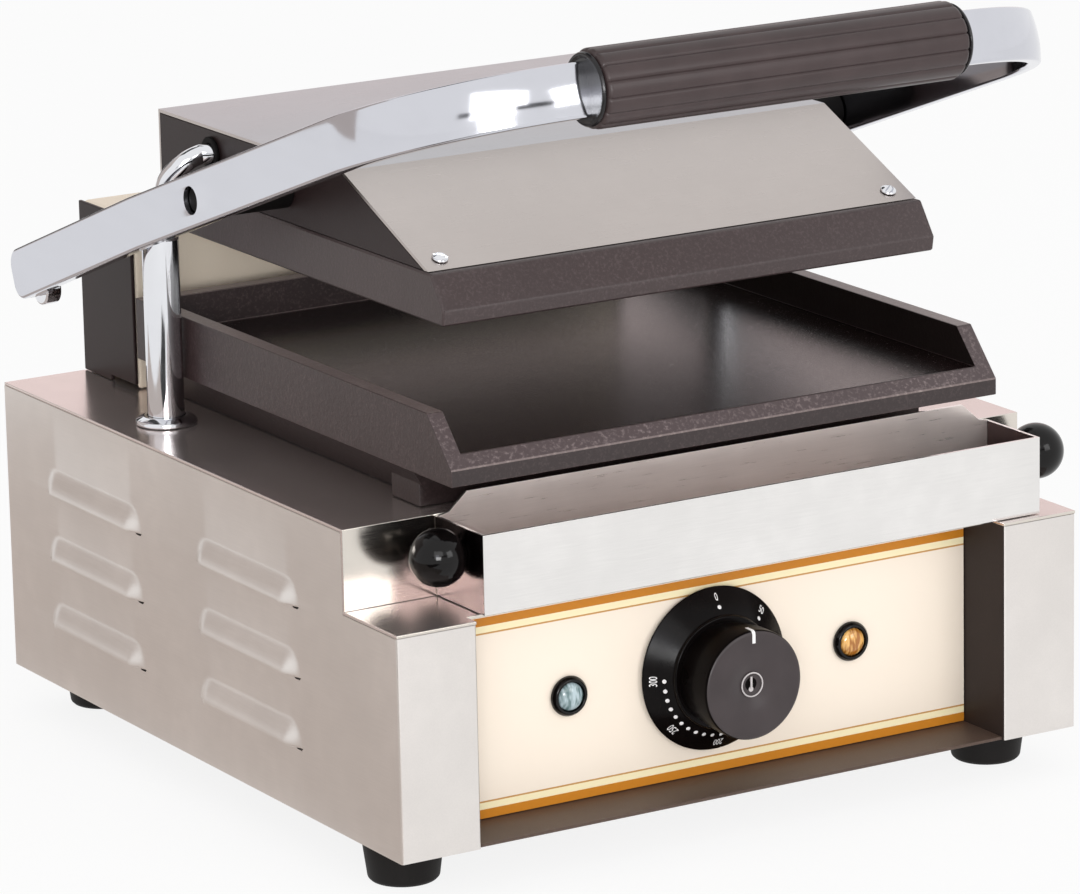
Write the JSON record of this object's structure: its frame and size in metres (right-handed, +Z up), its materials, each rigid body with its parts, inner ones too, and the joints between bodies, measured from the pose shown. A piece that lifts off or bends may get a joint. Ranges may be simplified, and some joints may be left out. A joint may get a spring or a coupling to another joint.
{
  "type": "contact grill",
  "caption": "Countertop contact grill: steel base, cast lower plate, tilting sprung lid with a U-shaped handle, thermostat knob, lamps and a pull-out drip tray.",
  "frame": {"origin": "on the table, under the middle of the whole grill's bounding box", "axes": "X to the right seen from the front, Y from the front panel to the rear, Z up"},
  "size_m": [0.2997, 0.3458, 0.3021],
  "materials": {
    "brushed_steel": "warm grey brushed stainless sheet",
    "bright_cover_steel": "smooth satin stainless sheet",
    "chrome": "polished chrome plate",
    "enamelled_iron": "dark enamel on cast iron, finely speckled",
    "dark_painted_steel": "dark brown-grey speckled paint",
    "cream_panel": "smooth cream print with orange and yellow border stripes",
    "black_plastic": "glossy black moulding",
    "black_rubber": "matte black rubber",
    "dark_brown_grip": "satin dark brown fluted plastic",
    "grey_green_lens": "clear grey-green lens",
    "amber_lens": "amber lens",
    "galvanised_sheet": "zinc-coated steel",
    "ceramic_wool": "pressed mineral fibre",
    "element_sheath": "oxidised heating element sheath",
    "spring_steel": "oiled spring wire",
    "bronze": "drawn copper alloy tube",
    "white_ceramic": "off-white ceramic or moulded block",
    "wire_sleeve": "heat-proof woven wire sleeve"
  },
  "bodies": {
    "base": {"side_panel_left": "brushed_steel", "side_panel_right": "brushed_steel", "top_deck": "brushed_steel", "rear_panel": "brushed_steel", "rear_box_cover": "bright_cover_steel", "post_guide_left": "chrome", "post_guide_right": "chrome", "lower_plate": "enamelled_iron", "base_pan": "dark_painted_steel", "rear_box_side_left": "dark_painted_steel", "rear_box_side_right": "dark_painted_steel", "front_panel": "cream_panel", "cable_gland": "black_plastic", "thermostat_dial": "black_plastic", "lamp_bezel_left": "black_plastic", "lamp_bezel_right": "black_plastic", "foot_front_left": "black_rubber", "foot_front_right": "black_rubber", "foot_rear_left": "black_rubber", "foot_rear_right": "black_rubber", "lamp_lens_left": "grey_green_lens", "lamp_lens_right": "amber_lens", "lower_element_clamp": "galvanised_sheet", "lower_heat_shield": "galvanised_sheet", "lower_insulation": "ceramic_wool", "lower_element": "element_sheath", "post_spring_left": "spring_steel", "post_spring_right": "spring_steel", "thermostat_bulb": "bronze", "thermostat_body": "white_ceramic", "terminal_block": "white_ceramic", "wiring_loom": "wire_sleeve"},
    "carriage": {"post_left": "chrome", "post_right": "chrome", "hinge_rod_left": "chrome", "hinge_rod_right": "chrome"},
    "lid": {"upper_plate": "enamelled_iron", "upper_element": "element_sheath", "upper_element_clamp": "galvanised_sheet", "upper_insulation": "ceramic_wool", "lid_cover": "bright_cover_steel", "lid_side_left": "dark_painted_steel", "lid_side_right": "dark_painted_steel", "hinge_bush_left": "black_plastic", "hinge_bush_right": "black_plastic", "lid_screw_left": "chrome", "lid_screw_right": "chrome", "handle_pivot_left": "black_plastic", "handle_pivot_right": "black_plastic"},
    "handle": {"handle_bar": "chrome", "handle_grip": "dark_brown_grip", "grip_ring_left": "black_plastic", "grip_ring_right": "black_plastic", "stop_stud_left": "chrome", "stop_stud_right": "chrome"},
    "knob": {"thermostat_knob": "black_plastic", "thermostat_shaft": "galvanised_sheet"},
    "tray": {"drip_tray": "brushed_steel", "tray_knob_left": "black_plastic", "tray_knob_right": "black_plastic"}
  },
  "joints": [
    {"name": "post_travel", "type": "slide", "parent": "base", "child": "carriage", "axis": [0, 0, 1], "range_m": [-0.032, 0], "stiffness_N_per_m": 3000, "springref_m": 0.04, "deforming": ["post_spring_left", "post_spring_right"]},
    {"name": "lid_tilt", "type": "hinge", "parent": "carriage", "child": "lid", "pos_m": [0, 0.06342, 0.232], "axis": [-1, 0, 0], "range_deg": [-2.8, 27]},
    {"name": "handle_swing", "type": "hinge", "parent": "lid", "child": "handle", "pos_m": [0, 0.00742, 0.2287], "axis": [-1, 0, 0], "range_deg": [-20, 0]},
    {"name": "thermostat_turn", "type": "hinge", "parent": "base", "child": "knob", "pos_m": [0, -0.11378, 0.05825], "axis": [0, 1, 0], "range_deg": [0, 270]},
    {"name": "tray_slide", "type": "slide", "parent": "base", "child": "tray", "axis": [0, -1, 0], "range_m": [0, 0.1]}
  ]
}
